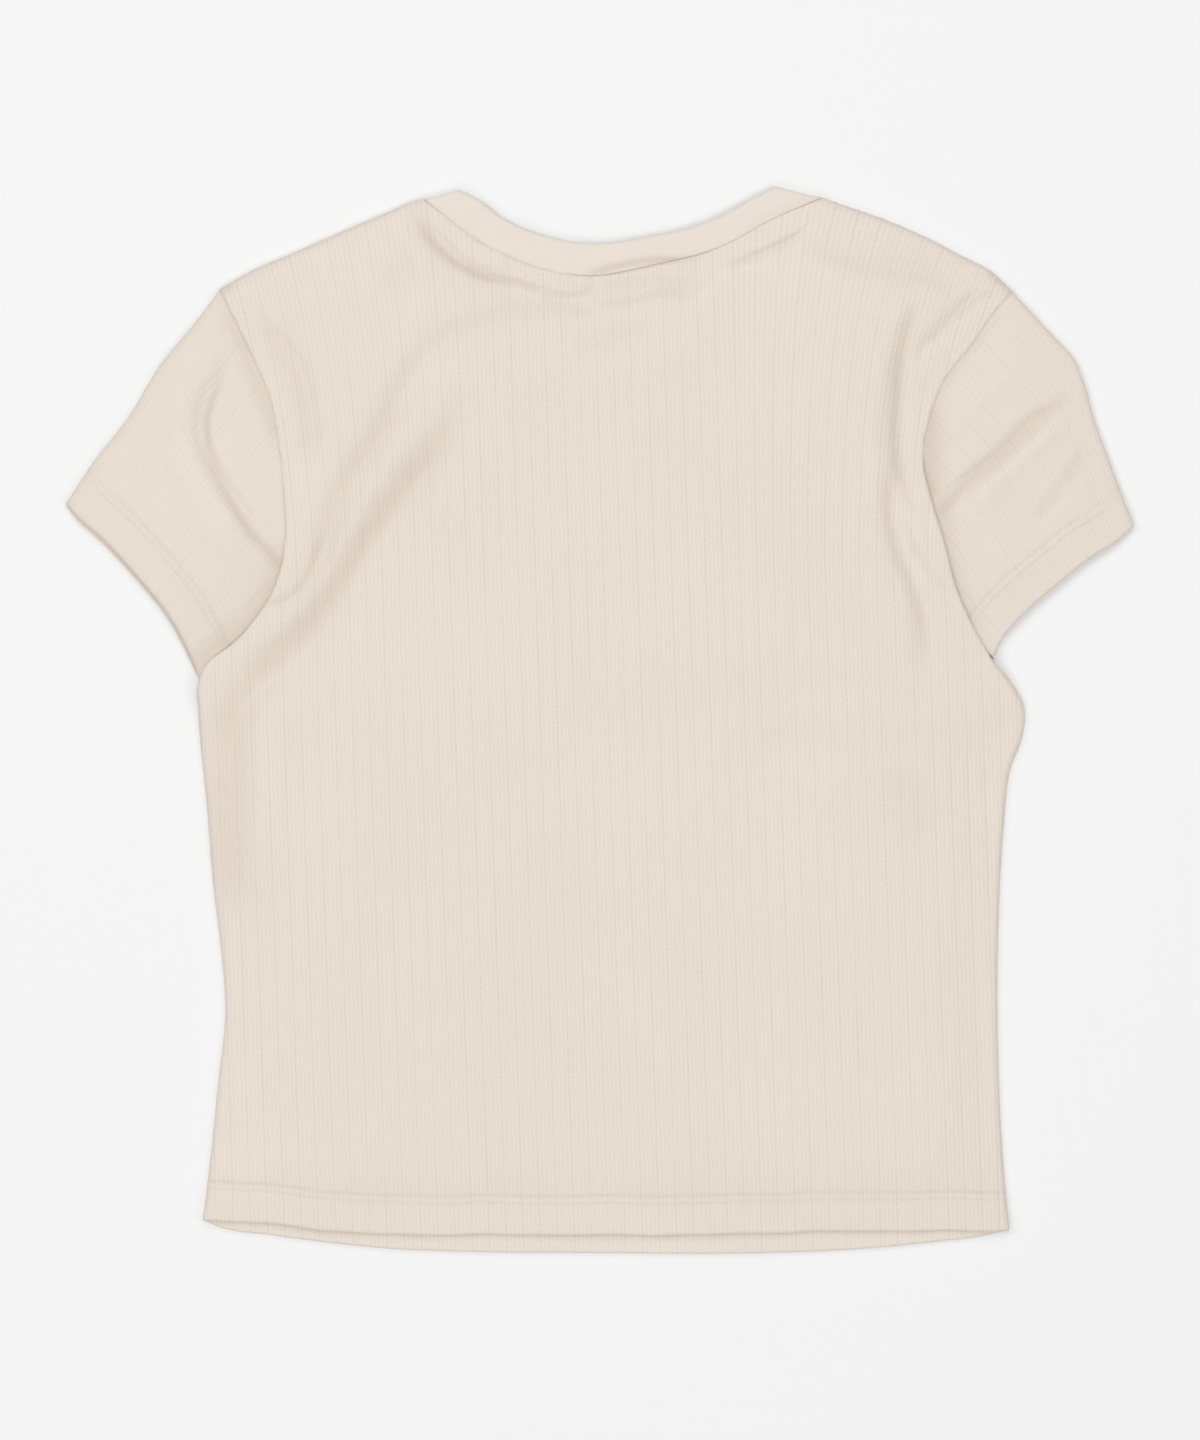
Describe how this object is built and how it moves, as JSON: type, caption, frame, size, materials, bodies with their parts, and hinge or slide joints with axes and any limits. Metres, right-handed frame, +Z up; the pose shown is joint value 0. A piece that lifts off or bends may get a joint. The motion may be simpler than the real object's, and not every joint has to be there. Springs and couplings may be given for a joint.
{
  "type": "short sleeve t-shirt",
  "caption": "Cropped short sleeve t-shirt in needle-drop rib knit, laid out flat with its back upwards.",
  "frame": {"origin": "on the surface that the shirt lies on, under the middle of its outline", "axes": "+X to the right in the view of the shirt's back, +Y from the hem to the neck, +Z up from the surface it lies on"},
  "size_m": [0.534, 0.5333, 0.0083],
  "materials": {
    "rib_knit": "cream cotton rib knit with dropped needles, soft and matt",
    "neckband_knit": "cream fine rib knit, soft and matt"
  },
  "bodies": {
    "root": {"back_panel": "rib_knit", "front_panel": "rib_knit", "sleeve_left": "rib_knit", "sleeve_right": "rib_knit", "neckband": "neckband_knit"}
  },
  "joints": []
}
